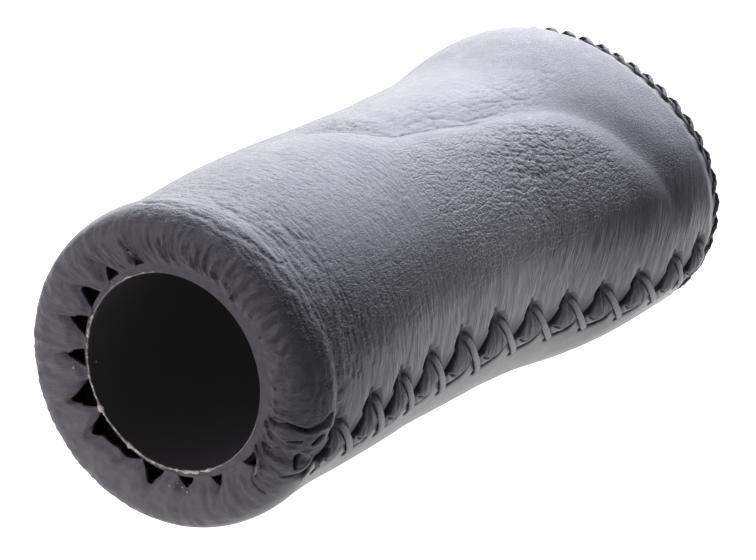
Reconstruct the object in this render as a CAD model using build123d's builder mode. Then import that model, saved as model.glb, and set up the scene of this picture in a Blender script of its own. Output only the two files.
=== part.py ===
from build123d import *
import math
import os

os.makedirs("parts", exist_ok=True)

# Leather-covered bicycle handlebar grip, short length, flared outer end.
# Millimetres. The origin is the centre of the bore's mouth, +X runs along the
# bore towards the closed flared end, and +Z is up when the grip lies on a table.
# Angles round the grip are measured about +X from +Y towards +Z.

# ---------------------------------------------------------------- dimensions
bore_r = 11.0            # the 22 mm hole that grips a 22.2 mm handlebar
sleeve_r = 12.4          # outside of the plastic sleeve
ring_r = 11.95           # mouth ring of the sleeve, thicker on one side
ring_t = 1.8
ring_shift = (-0.55, 0.32)  # the ring's and the hem's centre (y, z)
bore_depth = 86.0
sleeve_end = 87.6        # outside of the sleeve's closed end

hem_front = -0.35        # front of the leather turned in over the mouth
grip_end = 92.0          # outer face of the end cap
leather_t = 1.2
hem_t = 0.65             # leather pared thin where it is turned in
film = 0.05              # glue film between layers
hem_r = 12.05            # inner edge of the turned-in leather
relief_r = 14.9          # clearance round the mouth ring, behind the hem
relief_x = 2.6
bead_r = (11.06, 11.26)  # dried glue along the mouth ring
bead_t = 0.3
bead_deg = (-118.0, 28.0)
near_round = 4.0         # rounding of the mouth end
cap_t = 1.2
cap_inset = 0.35

seam_deg = 200.0         # middle of the stitching, low on the -Y side
seam_gap = 0.5           # between the two edges of the wrap
gap_deg = 206.0          # the upper edge reaches almost to the lower holes
seam_x = [5.2, 11.4, 17.0, 23.2, 30.4, 38.3, 47.0, 55.5, 63.3, 70.9, 78.4, 84.8]
seam_half_w = 3.6        # from the seam to each row of holes
thread_r = 0.4
thread_hole_r = 0.5
groove_w = 9.6           # relief in the body under the seam
groove_d = 1.45

rim_count = 44           # overcast stitches joining cover and end cap
rim_thread_r = 0.38
rim_setback = 1.7        # hole row behind the cover's edge
rim_cap_in = 1.7         # hole row inside the cap's edge

pad_x0, pad_x1 = 27.0, 72.5
pad_deg = 146.0          # middle of the palm pad
pad_w = 20.0
pad_corner = 8.0
pad_t = 2.0

# Outer profile, from the mouth to the flared end: distance along the axis,
# mean radius, and the section's centre in y and z.
profile = [
    (-0.35, 18.15, 0.45, 0.05),
    (6.0, 17.95, 0.35, 0.05),
    (16.0, 18.24, 0.10, 0.25),
    (28.0, 18.42, 0.15, 0.30),
    (40.0, 18.56, 0.04, 0.06),
    (50.0, 18.68, -0.12, -0.23),
    (60.0, 19.01, -0.52, -0.47),
    (70.0, 19.63, -1.17, -0.60),
    (80.0, 20.30, -1.80, -0.10),
    (86.0, 20.20, -2.20, -0.10),
    (92.0, 19.15, -2.60, -0.15),
]
# The flare is oval: its long way leans 27 degrees down on the -Y side.
oval_cos, oval_sin = 1.19, 1.61
oval_start, oval_run = 45.0, 40.0


# ---------------------------------------------------------------- the surface
def cubic(xs, ys):
    """Natural cubic spline through (xs, ys), as a function."""
    n = len(xs) - 1
    h = [xs[i + 1] - xs[i] for i in range(n)]
    al = [0.0] + [
        3 * ((ys[i + 1] - ys[i]) / h[i] - (ys[i] - ys[i - 1]) / h[i - 1])
        for i in range(1, n)
    ]
    mu, z = [0.0] * (n + 1), [0.0] * (n + 1)
    for i in range(1, n):
        low = 2 * (xs[i + 1] - xs[i - 1]) - h[i - 1] * mu[i - 1]
        mu[i] = h[i] / low
        z[i] = (al[i] - h[i - 1] * z[i - 1]) / low
    c, b, d = [0.0] * (n + 1), [0.0] * n, [0.0] * n
    for i in range(n - 1, -1, -1):
        c[i] = z[i] - mu[i] * c[i + 1]
        b[i] = (ys[i + 1] - ys[i]) / h[i] - h[i] * (c[i + 1] + 2 * c[i]) / 3
        d[i] = (c[i + 1] - c[i]) / (3 * h[i])

    def at(x):
        i = max(0, min(n - 1, sum(1 for v in xs[1:-1] if x >= v)))
        t = x - xs[i]
        return ys[i] + t * (b[i] + t * (c[i] + t * d[i]))

    return at


stations = [row[0] for row in profile]
mean_r = cubic(stations, [row[1] for row in profile])
mid_y = cubic(stations, [row[2] for row in profile])
mid_z = cubic(stations, [row[3] for row in profile])


def skin(x, deg, lift=0.0):
    """Point of the leather's outer surface, or lift mm outside it."""
    a = math.radians(deg)
    g = min(1.0, max(0.0, (x - oval_start) / oval_run))
    g = g * g * (3 - 2 * g)
    r = mean_r(x) + g * (oval_cos * math.cos(2 * a) + oval_sin * math.sin(2 * a))
    r += lift
    return (x, mid_y(x) + r * math.cos(a), mid_z(x) + r * math.sin(a))


def section(x, lift, count=24):
    """Section points in the YZ plane."""
    return [skin(x, 360.0 * k / count, lift)[1:] for k in range(count)]


loft_x = [-4.0 + 6.0 * k for k in range(18)]


def lofted(lift, near, far, round_near=0.0):
    """Solid from near to far, lift mm outside the leather's surface."""
    with BuildPart() as blank:
        for x in loft_x:
            with BuildSketch(Plane.YZ.offset(x)):
                with BuildLine():
                    Spline(*section(x, lift), periodic=True)
                make_face()
        loft()
        split(bisect_by=Plane.YZ.offset(near), keep=Keep.TOP)
        split(bisect_by=Plane.YZ.offset(far), keep=Keep.BOTTOM)
        if round_near:
            fillet(blank.edges().group_by(Axis.X)[0], round_near)
    return blank.part


def radial_plane(x, deg):
    """Plane on the leather's surface, its normal pointing away from the axis."""
    a = math.radians(deg)
    return Plane(origin=skin(x, deg), x_dir=(1, 0, 0), z_dir=(0, math.cos(a), math.sin(a)))


def row_deg(x, side):
    """Angle of a hole row, one seam_half_w above (-1) or below (+1) the seam."""
    px, py, pz = skin(x, seam_deg)
    return seam_deg + side * math.degrees(seam_half_w / math.hypot(py, pz))


def off_axis_plane(x, deg):
    """Plane through the axis at x, its normal at this angle round the grip."""
    a = math.radians(deg)
    return Plane(origin=(x, 0, 0), x_dir=(1, 0, 0), z_dir=(0, math.cos(a), math.sin(a)))


cover_end = grip_end - cap_t - film
body_near = hem_front + hem_t + film
body_end = cover_end
rim_x = cover_end - rim_setback
rim_deg = [seam_deg + 360.0 * (k + 0.5) / rim_count for k in range(rim_count)]

cover_blank = lofted(0.0, hem_front, cover_end, near_round)
under_skin = lofted(-leather_t, hem_front + hem_t, cover_end + 3, near_round - leather_t)
body_blank = lofted(-leather_t - film, body_near, body_end, near_round - leather_t - film)
groove_floor = lofted(-leather_t - groove_d, -3.9, 97.0)
pad_floor = lofted(-leather_t - 2 * film - pad_t, pad_x0 - 8, pad_x1 + 8)
pad_top = lofted(-leather_t - film, pad_x0 - 4, pad_x1 + 4)
pad_under = lofted(-leather_t - film - pad_t, pad_x0 - 8, pad_x1 + 8)

# ---------------------------------------------------------------- bar sleeve
# Hard plastic liner, closed at its outer end, with a ring at its mouth.
with BuildPart() as bar_sleeve:
    with BuildSketch(Plane.XY):
        with BuildLine():
            Polyline(
                (0, bore_r),
                (0, 11.3),
                (ring_t, sleeve_r),
                (sleeve_end, sleeve_r),
                (sleeve_end, 0),
                (bore_depth, 0),
                (bore_depth, bore_r),
                (0, bore_r),
            )
        make_face()
    revolve(axis=Axis.X)
    with BuildSketch(Plane.YZ):
        with Locations(ring_shift):
            Circle(ring_r)
        Circle(bore_r + 0.3, mode=Mode.SUBTRACT)
    extrude(amount=ring_t)
bar_sleeve.part.label = "bar_sleeve"
export_step(bar_sleeve.part, "parts/bar_sleeve.step")

# ---------------------------------------------------------------- leather cover
# One wrap of leather, butted along the seam and turned in over the mouth.
with BuildPart() as leather_cover:
    add(cover_blank)
    add(under_skin, mode=Mode.SUBTRACT)
    # opening inside the turned-in hem
    with BuildSketch(Plane.YZ.offset(hem_front - 1)):
        with Locations(ring_shift):
            Circle(hem_r)
    extrude(amount=4, mode=Mode.SUBTRACT)
    # the two edges of the wrap stand a little apart along the seam
    with BuildSketch(off_axis_plane(45, gap_deg)):
        Rectangle(110, seam_gap)
    extrude(amount=40, mode=Mode.SUBTRACT)
    # thread holes beside the seam and round the rim
    with Locations(
        *[radial_plane(x, row_deg(x, -1)) for x in seam_x],
        *[radial_plane(x, row_deg(x, 1)) for x in seam_x],
        *[radial_plane(rim_x, d) for d in rim_deg],
    ):
        Cylinder(thread_hole_r, 5, mode=Mode.SUBTRACT)
leather_cover.part.label = "leather_cover"
export_step(leather_cover.part, "parts/leather_cover.step")

# ---------------------------------------------------------------- grip body
# Moulded rubber, with a pocket for the palm pad and a channel for the seam.
with BuildPart() as groove_tool:
    with BuildSketch(off_axis_plane(45, seam_deg)):
        Rectangle(110, groove_w)
    extrude(amount=40)
    add(groove_floor, mode=Mode.SUBTRACT)

with BuildPart() as pad_tool:
    with BuildSketch(off_axis_plane((pad_x0 + pad_x1) / 2, pad_deg)):
        RectangleRounded(pad_x1 - pad_x0, pad_w, pad_corner)
    extrude(amount=40)
    add(pad_floor, mode=Mode.SUBTRACT)

with BuildPart() as grip_body:
    add(body_blank)
    # room for the sleeve, its mouth ring and the glue behind the hem
    with BuildSketch(Plane.YZ.offset(0)):
        Circle(sleeve_r + film)
    extrude(amount=sleeve_end + film, mode=Mode.SUBTRACT)
    with BuildSketch(Plane.YZ.offset(body_near - 1)):
        Circle(relief_r)
    extrude(amount=relief_x - body_near + 1, mode=Mode.SUBTRACT)
    add(groove_tool.part, mode=Mode.SUBTRACT)
    add(pad_tool.part, mode=Mode.SUBTRACT)
grip_body.part.label = "grip_body"
export_step(grip_body.part, "parts/grip_body.step")

# ---------------------------------------------------------------- palm pad
# Soft gel pad in the body's pocket, under the leather.
with BuildPart() as palm_pad:
    add(pad_top)
    with BuildSketch(off_axis_plane((pad_x0 + pad_x1) / 2, pad_deg)):
        RectangleRounded(pad_x1 - pad_x0 - 0.1, pad_w - 0.1, pad_corner - 0.05)
    extrude(amount=40, mode=Mode.INTERSECT)
    add(pad_under, mode=Mode.SUBTRACT)
palm_pad.part.label = "palm_pad"
export_step(palm_pad.part, "parts/palm_pad.step")

# ---------------------------------------------------------------- end cap
# Leather disc over the flared end, with a hole row for the rim thread.
with BuildPart() as end_cap:
    with BuildSketch(Plane.YZ.offset(cover_end + film)):
        with BuildLine():
            Spline(*section(cover_end, -cap_inset), periodic=True)
        make_face()
    extrude(amount=cap_t)
    fillet(end_cap.edges().group_by(Axis.X)[-1], 0.5)
    with BuildSketch(Plane.YZ.offset(cover_end - 1)):
        with Locations(*[skin(cover_end, d, -cap_inset - rim_cap_in)[1:] for d in rim_deg]):
            Circle(thread_hole_r)
    extrude(amount=cap_t + 3, mode=Mode.SUBTRACT)
end_cap.part.label = "end_cap"
export_step(end_cap.part, "parts/end_cap.step")

# ---------------------------------------------------------------- glue bead
# Dried adhesive on the face of the mouth ring, on its thin side.
with BuildPart() as glue_bead:
    with BuildSketch(Plane.YZ.offset(-bead_t - 0.01)):
        Circle(bead_r[1])
        Circle(bead_r[0], mode=Mode.SUBTRACT)
        with BuildLine():
            far_pts = [
                (30 * math.cos(math.radians(d)), 30 * math.sin(math.radians(d)))
                for d in (bead_deg[0], -70.0, -22.0, bead_deg[1])
            ]
            Polyline((0, 0), *far_pts, (0, 0))
        make_face(mode=Mode.INTERSECT)
    extrude(amount=bead_t)
glue_bead.part.label = "glue_bead"
export_step(glue_bead.part, "parts/glue_bead.step")

# ---------------------------------------------------------------- seam thread
# One waxed thread: over the seam on the slant, back under it at each hole pair.
over = 0.58              # centre of the thread above the leather
under = -leather_t - 0.62
route, bends = [skin(seam_x[0], row_deg(seam_x[0], -1), under)], []
for k, x in enumerate(seam_x):
    up = row_deg(x, -1)
    if k == 0:
        route.append(skin(x, up, over))
        bends.append(0.5)
        continue
    low, back = row_deg(x, 1), row_deg(seam_x[k - 1], -1)
    middle = ((x + seam_x[k - 1]) / 2, (low + back) / 2)
    route += [skin(middle[0], middle[1], over), skin(x, low, over), skin(x, low, under)]
    bends += [4.0, 0.5, 0.5]
    if k < len(seam_x) - 1:
        route += [skin(x, up, under), skin(x, up, over)]
        bends += [0.5, 0.5]
bends = bends[: len(route) - 2]
with BuildPart() as seam_thread:
    with BuildLine() as seam_route:
        FilletPolyline(*route, radius=bends)
    with BuildSketch(Plane(origin=seam_route.line @ 0, z_dir=seam_route.line % 0)):
        Circle(thread_r)
    sweep(path=seam_route.line)
seam_thread.part.label = "seam_thread"
export_step(seam_thread.part, "parts/seam_thread.step")

# ---------------------------------------------------------------- rim thread
# Overcast stitches: each goes out of the cover, over the rim and into the cap.
stitches = []
for d in rim_deg:
    path = [
        skin(rim_x, d, -leather_t + 0.2),
        skin(rim_x, d, 0.44),
        (grip_end + 0.5,) + skin(cover_end, d, 0.44)[1:],
        (grip_end + 0.5,) + skin(cover_end, d, -cap_inset - rim_cap_in)[1:],
        (grip_end - cap_t + 0.2,) + skin(cover_end, d, -cap_inset - rim_cap_in)[1:],
    ]
    stitches.append(path)
with BuildPart() as rim_thread:
    for path in stitches:
        with BuildLine() as over_rim:
            FilletPolyline(*path, radius=[0.42, 0.6, 0.42])
        with BuildSketch(Plane(origin=over_rim.line @ 0, z_dir=over_rim.line % 0)):
            Circle(rim_thread_r)
        sweep(path=over_rim.line)
rim_thread.part.label = "rim_thread"
export_step(rim_thread.part, "parts/rim_thread.step")

print("seam thread", round(seam_route.wires()[0].length, 1), "mm, smallest bend 0.5 mm")
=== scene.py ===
import math

import bpy
import numpy as np
from mathutils import Matrix


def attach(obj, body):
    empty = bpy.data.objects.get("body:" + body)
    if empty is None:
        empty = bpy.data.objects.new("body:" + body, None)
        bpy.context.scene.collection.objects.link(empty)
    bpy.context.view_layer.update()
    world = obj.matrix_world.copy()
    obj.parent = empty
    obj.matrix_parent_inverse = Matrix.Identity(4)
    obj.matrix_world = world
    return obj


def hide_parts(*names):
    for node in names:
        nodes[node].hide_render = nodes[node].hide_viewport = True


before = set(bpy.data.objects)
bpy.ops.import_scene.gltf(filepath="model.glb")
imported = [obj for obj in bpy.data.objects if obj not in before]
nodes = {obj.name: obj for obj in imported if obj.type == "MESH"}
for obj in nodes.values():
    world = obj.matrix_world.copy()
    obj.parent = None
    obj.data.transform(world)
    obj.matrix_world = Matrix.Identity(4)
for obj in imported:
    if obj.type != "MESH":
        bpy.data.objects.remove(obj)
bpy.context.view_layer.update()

MM = 0.001
RAD = math.pi / 180.0


# ---------------------------------------------------------------- numbers
def smooth(a, b, x):
    t = np.clip((np.asarray(x, float) - a) / (b - a), 0.0, 1.0)
    return t * t * (3.0 - 2.0 * t)


def spline(xs, ys):
    """Natural cubic through the points, as a function."""
    xs, ys = np.array(xs, float), np.array(ys, float)
    n, h = len(xs), np.diff(xs)
    a, r = np.zeros((n, n)), np.zeros(n)
    a[0, 0] = a[-1, -1] = 1.0
    for i in range(1, n - 1):
        a[i, i - 1], a[i, i], a[i, i + 1] = h[i - 1], 2 * (h[i - 1] + h[i]), h[i]
        r[i] = 6 * ((ys[i + 1] - ys[i]) / h[i] - (ys[i] - ys[i - 1]) / h[i - 1])
    m = np.linalg.solve(a, r)

    def f(x):
        x = np.asarray(x, float)
        i = np.clip(np.searchsorted(xs, x) - 1, 0, n - 2)
        t, hh = x - xs[i], h[i]
        c = (ys[i + 1] - ys[i]) / hh - hh * (2 * m[i] + m[i + 1]) / 6
        return ys[i] + t * (c + t * (m[i] / 2 + t * (m[i + 1] - m[i]) / (6 * hh)))

    return f


def rnd(i, j, k):
    """A repeatable number from 0 to 1 for each whole i, j."""
    u = np.uint64
    h = np.asarray(i).astype(np.int64).astype(u) * u(0x9E3779B97F4A7C15)
    h = h + np.asarray(j).astype(np.int64).astype(u) * u(0xC2B2AE3D27D4EB4F)
    h = h + np.full_like(h, (k * 0x165667B19E3779F9 + 0x27D4EB2F165667C5) % (1 << 64))
    h ^= h >> u(31)
    h = h * u(0xBF58476D1CE4E5B9)
    h ^= h >> u(27)
    h = h * u(0x94D049BB133111EB)
    h ^= h >> u(31)
    return (h >> u(11)).astype(float) / float(1 << 53)


def noise(x, y, k=0):
    """Smooth value noise from -1 to 1."""
    i, j = np.floor(x), np.floor(y)
    u, v = x - i, y - j
    u = u * u * u * (u * (u * 6 - 15) + 10)
    v = v * v * v * (v * (v * 6 - 15) + 10)
    a, b = rnd(i, j, k), rnd(i + 1, j, k)
    c, d = rnd(i, j + 1, k), rnd(i + 1, j + 1, k)
    return 2 * ((a * (1 - u) + b * u) * (1 - v) + (c * (1 - u) + d * u) * v) - 1


def fbm(x, y, k=0, n=3):
    out = 0.0
    for o in range(n):
        out = out + noise(x * 2**o + 7.3 * o, y * 2**o - 3.1 * o, k + 31 * o) * 0.5**o
    return out / (2 - 0.5 ** (n - 1))


def cells(x, y, k=0):
    """Distance to the nearest and to the second nearest cell centre."""
    i, j = np.floor(x), np.floor(y)
    f1, f2 = np.full(x.shape, 9.0), np.full(x.shape, 9.0)
    for di in (-1, 0, 1):
        for dj in (-1, 0, 1):
            px = i + di + 0.12 + 0.76 * rnd(i + di, j + dj, k)
            py = j + dj + 0.12 + 0.76 * rnd(i + di, j + dj, k + 977)
            d = (px - x) ** 2 + (py - y) ** 2
            f2 = np.minimum(f2, np.maximum(f1, d))
            f1 = np.minimum(f1, d)
    return np.sqrt(f1), np.sqrt(f2)


# ---------------------------------------------------------------- the grip's outside
STATIONS = np.arange(0, 93, 4.0)
R_AT = spline(STATIONS, [18.884, 18.069, 17.867, 18.018, 18.26, 18.388, 18.417, 18.418, 18.448, 18.501, 18.557, 18.601, 18.649, 18.725, 18.843, 19.006, 19.219, 19.481, 19.788, 20.092, 20.299, 20.317, 20.049, 19.401])
Y_AT = spline(STATIONS, [1.722, 0.894, 0.412, 0.187, 0.127, 0.147, 0.193, 0.217, 0.183, 0.112, 0.037, -0.021, -0.081, -0.175, -0.32, -0.524, -0.782, -1.052, -1.284, -1.476, -1.67, -1.912, -2.246, -2.717])
Z_AT = spline(STATIONS, [-0.763, -0.288, 0.044, 0.257, 0.377, 0.428, 0.422, 0.372, 0.289, 0.182, 0.06, -0.067, -0.183, -0.274, -0.353, -0.465, -0.624, -0.712, -0.589, -0.264, 0.097, 0.323, 0.243, -0.315])
UP_AT = spline([0, 6, 12, 18, 24, 31, 39, 47, 56, 64, 71, 78.5, 85, 91], [192, 191.5, 189, 187, 186, 185, 185.5, 188.5, 192, 193.3, 193.3, 193.5, 192.5, 192])
LO_AT = spline([0, 6, 12, 17, 24, 31, 38, 47, 56, 64, 71, 79, 85, 91], [211, 213, 214, 212, 210.3, 210, 209.2, 209.9, 211.2, 211.7, 211.8, 212.2, 211.3, 210])
HOLES = np.array([-5.0, 0.2, 5.3, 11.5, 17.0, 23.2, 30.5, 38.3, 47.3, 55.7, 63.3, 70.8, 78.7, 84.8, 90.6, 97.0])
ROUND = 4.0
FACE_X = -0.30
END_S = 90.7


def section(s, phi):
    """y and z of the outside at station s, before either end is rounded."""
    g = smooth(45, 85, s)
    r = R_AT(s) + g * (1.1936 * np.cos(2 * phi) + 1.6096 * np.sin(2 * phi))
    return r * np.cos(phi) + Y_AT(s), r * np.sin(phi) + Z_AT(s)


def outside(s, beta, phi):
    """A point of the outside. beta is 90 degrees on the near face and 0 on the side."""
    y, z = section(s, phi)
    length = np.sqrt(y * y + z * z)
    inset = ROUND * (1 - np.cos(beta))
    far = np.clip((s - 90.0) / 2.0, 0, 0.98)
    inset = inset + 1.2 * (1 - np.sqrt(1 - far * far))
    k = 1 - inset / length
    x = s + FACE_X * smooth(ROUND, 0, s)
    return np.stack([x + 0 * y, y * k, z * k], -1)


# radius of the hem's inner edge about the bore, with the dark gaps between its folds
def hem_edge(deg):
    deg = np.mod(deg, 360.0)
    phi = deg * RAD
    cy, cz, rr = -0.55, 0.32, 11.66
    along = cy * np.cos(phi) + cz * np.sin(phi)
    base = along + np.sqrt(np.maximum(along * along - cy * cy - cz * cz + rr * rr, 0))
    out = base + 0.09 * noise(deg / 4.0, 0 * deg, 5) + 0.06 * noise(deg / 1.7, 0 * deg, 6)
    gaps = [(72, 13.35, 3.2), (53, 13.35, 4.5), (34, 13.9, 5.5), (17, 13.75, 5.5), (358.5, 13.85, 5.2), (337, 14.5, 8.0), (284, 13.8, 7.0), (263, 13.0, 5.5), (243, 13.15, 4.0), (217, 14.2, 6.6), (111, 13.9, 0.0), (196, 12.7, 1.2), (152, 12.9, 1.0), (129, 13.0, 1.0)]
    for at, tip, half in gaps:
        if half <= 0:
            continue
        d = np.abs(np.mod(deg - at + 180, 360) - 180) / half
        d = d + 0.10 * noise(deg / 1.3, 0 * deg, 17)
        out = np.maximum(out, base + (tip - base) * np.clip(1.05 - d, 0, 1) ** 0.85)
    out = out - 0.15 * smooth(62, 100, deg) * (1 - smooth(190, 214, deg))
    wide = np.interp(deg, [290, 292, 295.5, 301, 306, 310, 316, 320, 323, 327], [0, 0.4, 0.9, 1.55, 1.40, 1.70, 2.0, 3.2, 2.1, 0])
    return np.where(wide > 0, np.maximum(out, base + wide), out)


# ---------------------------------------------------------------- grid of the cover
q_band = np.arange(-0.9, 1.5 - 1e-6, 0.0175)
hidden = np.linspace(0, 0.628, 170, endpoint=False)
shown = np.linspace(0.628, 1.0, 222, endpoint=False)
w_rest = np.concatenate([hidden, shown])
N_REST, N_BAND = len(w_rest), len(q_band)
N = N_REST + N_BAND

STEP = 0.19
s_body = np.arange(ROUND, 90.0 + 1e-6, STEP)
betas = np.linspace(math.pi / 2, 0, 42)[:-1]
s_round = ROUND * (1 - np.sin(betas))
s_end = np.array([90.15, 90.3, 90.45, 90.57])
N_FACE = 30
face_f = np.linspace(1, 0, N_FACE + 1)[:-1]
s_all = np.concatenate([np.zeros(N_FACE), s_round, s_body, s_end])
beta_all = np.concatenate([np.full(N_FACE, math.pi / 2), betas, np.zeros(len(s_body) + len(s_end))])
f_all = np.concatenate([face_f, np.zeros(len(s_round) + len(s_body) + len(s_end))])
ROW_BODY = N_FACE + len(s_round)
M = len(s_all)

S = np.repeat(s_all[:, None], N, 1)
BETA = np.repeat(beta_all[:, None], N, 1)
F = np.repeat(f_all[:, None], N, 1)
up, lo = UP_AT(s_all)[:, None], LO_AT(s_all)[:, None]
gap = lo - up
start, stop = up + 1.5 * gap, up - 0.9 * gap + 360
DEG = np.concatenate([start + w_rest[None] * (stop - start), up + q_band[None] * gap + 360], 1)
Q = (DEG - 360 - up) / gap
Q[:, : N_REST] = np.where(w_rest[None] < 0.3, (DEG[:, :N_REST] - up) / gap, Q[:, :N_REST])
PHI = DEG * RAD
PDEG = np.mod(DEG, 360.0)
V = np.where(BETA > 0, ROUND - ROUND * BETA, S)
T = PHI * 19.0

base = outside(S, BETA, PHI)
edge_r = hem_edge(DEG)
edge = np.stack([np.full(S.shape, FACE_X), edge_r * np.cos(PHI), edge_r * np.sin(PHI)], -1)
face_len = np.linalg.norm(base - edge, axis=-1)
V = np.where(F > 0, V - F * face_len, V)
base = np.where(F[..., None] > 0, base + (edge - base) * F[..., None], base)


def normals(p):
    dr = np.gradient(p, axis=0)
    dc = (np.roll(p, -1, 1) - np.roll(p, 1, 1)) / 2
    n = np.cross(dc, dr)
    return n / np.maximum(np.linalg.norm(n, axis=-1, keepdims=True), 1e-12)


NRM = normals(base)
if np.mean(NRM[M // 2, :, 1] * np.cos(PHI[M // 2]) + NRM[M // 2, :, 2] * np.sin(PHI[M // 2])) < 0:
    NRM = -NRM


def wrap(fn):
    """A pattern over the leather that has no jump where the grid closes, below the seam."""
    a = fn(V, T)
    w = smooth(1.08, 1.48, Q[:, N_REST:])
    a[:, N_REST:] = a[:, N_REST:] * (1 - w) + fn(V[:, N_REST:], T[:, N_REST:] - 2 * math.pi * 19.0) * w
    return a


# ---------------------------------------------------------------- palm pad and its crease
crease = np.array([(-10, 62), (8, 67), (20, 71), (24, 73.5), (27.3, 79.5), (32.4, 88.5), (36.1, 102), (39, 107.2), (44.4, 110.4), (50.1, 113.6), (56.3, 116.2), (62.7, 119.4), (67.2, 123.5), (69.8, 128.7), (72.3, 136.5), (74, 146.3), (75.4, 154.8), (76.9, 164.3), (78, 172.9), (79.4, 181.9), (80.5, 189.1), (81.6, 197), (82.6, 206)], float)
tt = np.arange(len(crease), dtype=float)
fine = np.linspace(0, len(crease) - 1, 260)
cx, cd = spline(tt, crease[:, 0])(fine), spline(tt, crease[:, 1])(fine)


def to_curve(s, deg, xs, ds):
    """Signed distance in mm to a curve over the leather, positive on its left, and how far along it."""
    rr = 19.0 * RAD
    best, side, at = np.full(s.shape, 1e9), np.zeros(s.shape), np.zeros(s.shape)
    ax, ay = xs, ds * rr
    px, py = s, deg * rr
    for i in range(len(xs) - 1):
        ex, ey = ax[i + 1] - ax[i], ay[i + 1] - ay[i]
        ll = ex * ex + ey * ey
        u = np.clip(((px - ax[i]) * ex + (py - ay[i]) * ey) / ll, 0, 1)
        dx, dy = px - (ax[i] + u * ex), py - (ay[i] + u * ey)
        d = dx * dx + dy * dy
        near = d < best
        best = np.where(near, d, best)
        side = np.where(near, np.sign(ex * dy - ey * dx), side)
        at = np.where(near, (i + u) / (len(xs) - 1), at)
    return np.sqrt(best) * side, at


cdist = np.full(S.shape, -20.0)
calong = np.zeros(S.shape)
cr = slice(ROW_BODY, M)
cc = slice(150, N)
cdist[cr, cc], calong[cr, cc] = to_curve(S[cr, cc][:, :], PDEG[cr, cc], cx[::4], cd[::4])
wob = wrap(lambda v, t: 0.55 * fbm(v / 3.5, t / 3.5, 41) + 0.18 * fbm(v / 0.9, t / 0.9, 45))
cdw = cdist + wob * smooth(14, 4, np.abs(cdist))
curve_x = np.interp(calong, np.linspace(0, 1, len(cx)), cx)
sharp = smooth(27, 35, curve_x) * (1 - smooth(58, 67, curve_x))
soft = smooth(56, 68, curve_x)
start_fade = smooth(21, 33, curve_x)
end_fade = 1 - smooth(0.80, 0.91, calong)
hpad = np.zeros(S.shape)
hpad += 0.34 * smooth(-0.6, 5.5, cdist) * smooth(14, 38, S) * (1 - smooth(150, 186, PDEG)) * smooth(64, 90, PDEG)
patchy = np.clip(0.75 + 0.6 * noise(calong * 26, 0 * calong, 47), 0.1, 1.4)
near_line = np.abs(cdist) < 9
hpad -= near_line * start_fade * end_fade * 0.42 * np.exp(-((cdist + 0.7) / np.where(cdist > -0.7, 1.1, 2.8)) ** 2) * (0.35 + 0.65 * sharp)
hpad -= near_line * patchy * (0.34 * sharp * np.exp(-np.abs(cdw) / 0.30) + 0.09 * start_fade * (1 - sharp) * (1 - soft) * np.exp(-np.abs(cdw) / 0.30))
for off, deep in ((-1.1, 0.15), (-2.1, 0.12), (0.9, 0.08), (-3.3, 0.08)):
    hpad -= near_line * deep * sharp * np.clip(0.4 + 0.9 * noise(calong * 31 + off * 5, 0 * calong, 48), 0, 1) * np.exp(-np.abs(cdw - off - 0.5 * noise(calong * 19, 0 * calong + off, 49)) / 0.22)
hpad -= 0.19 * soft * end_fade * np.exp(-((cdist + 1.2) / np.where(cdist > -1.2, 2.0, 3.2)) ** 2)
hpad += 0.09 * soft * end_fade * np.exp(-((cdist - 3.1) / 1.7) ** 2)
side_of_top = smooth(69, 87, PDEG)
hpad *= side_of_top * smooth(0.0, 0.02, calong)

# ---------------------------------------------------------------- grain and wrinkles
on_side = smooth(4.5, 1.5, S) * (BETA > 0) + (F > 0)
on_side = 1 - np.clip(on_side, 0, 1)
in_pad = smooth(0.2, 3.5, cdist)
pebbly = in_pad * smooth(26, 36, S) * (1 - smooth(70, 77, S)) * smooth(98, 118, PDEG) * (1 - smooth(160, 178, PDEG))
near_half = (1 - smooth(30, 46, S)) * (1 - smooth(168, 184, PDEG)) * smooth(40, 70, PDEG)
top_axis = (1 - smooth(-1.5, 1.5, cdist)) * smooth(12, 30, S) * (1 - smooth(72, 86, S)) * smooth(30, 60, PDEG) * (1 - smooth(108, 124, PDEG))
streaky = smooth(158, 176, PDEG) * (1 - smooth(188, 200, PDEG)) * smooth(6, 14, S)
streaky = np.maximum(streaky, 0.30 * smooth(126, 150, PDEG) * (1 - smooth(188, 200, PDEG)) * smooth(76, 82, S))
below = smooth(205, 215, PDEG) + (PDEG < 40)


def pebbles(v, t):
    wx = v + 0.35 * noise(v / 1.3, t / 1.3, 3)
    wy = t + 0.30 * noise(v / 1.1, t / 1.1, 4) - 0.24 * v
    f1, f2 = cells(wx / 1.15, wy / 0.60, 11)
    small = 1 - np.exp(-4.5 * (f2 - f1))
    g1, g2 = cells(wx / 3.3 + 0.2 * noise(v, t, 9), wy / 1.15 + 0.35 * noise(v / 2, t / 2, 8), 13)
    large = 1 - np.exp(-7.0 * (g2 - g1))
    return 0.058 * (small - 0.7) + 0.120 * (large - 0.75) - 0.030 * f1


def rings(v, t):
    """Fine wrinkles that run round the grip."""
    wx = v + 0.5 * noise(v / 4, t / 5, 21) + 0.10 * t * 0.6
    wy = t + 0.4 * noise(v / 2, t / 2, 22)
    f1, f2 = cells(wx / 0.50, wy / 1.35, 23)
    g1, g2 = cells(wx / 1.25, wy / 3.2, 24)
    return 0.042 * (1 - np.exp(-4.0 * (f2 - f1)) - 0.7) + 0.045 * (1 - np.exp(-6.0 * (g2 - g1)) - 0.75)


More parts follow.
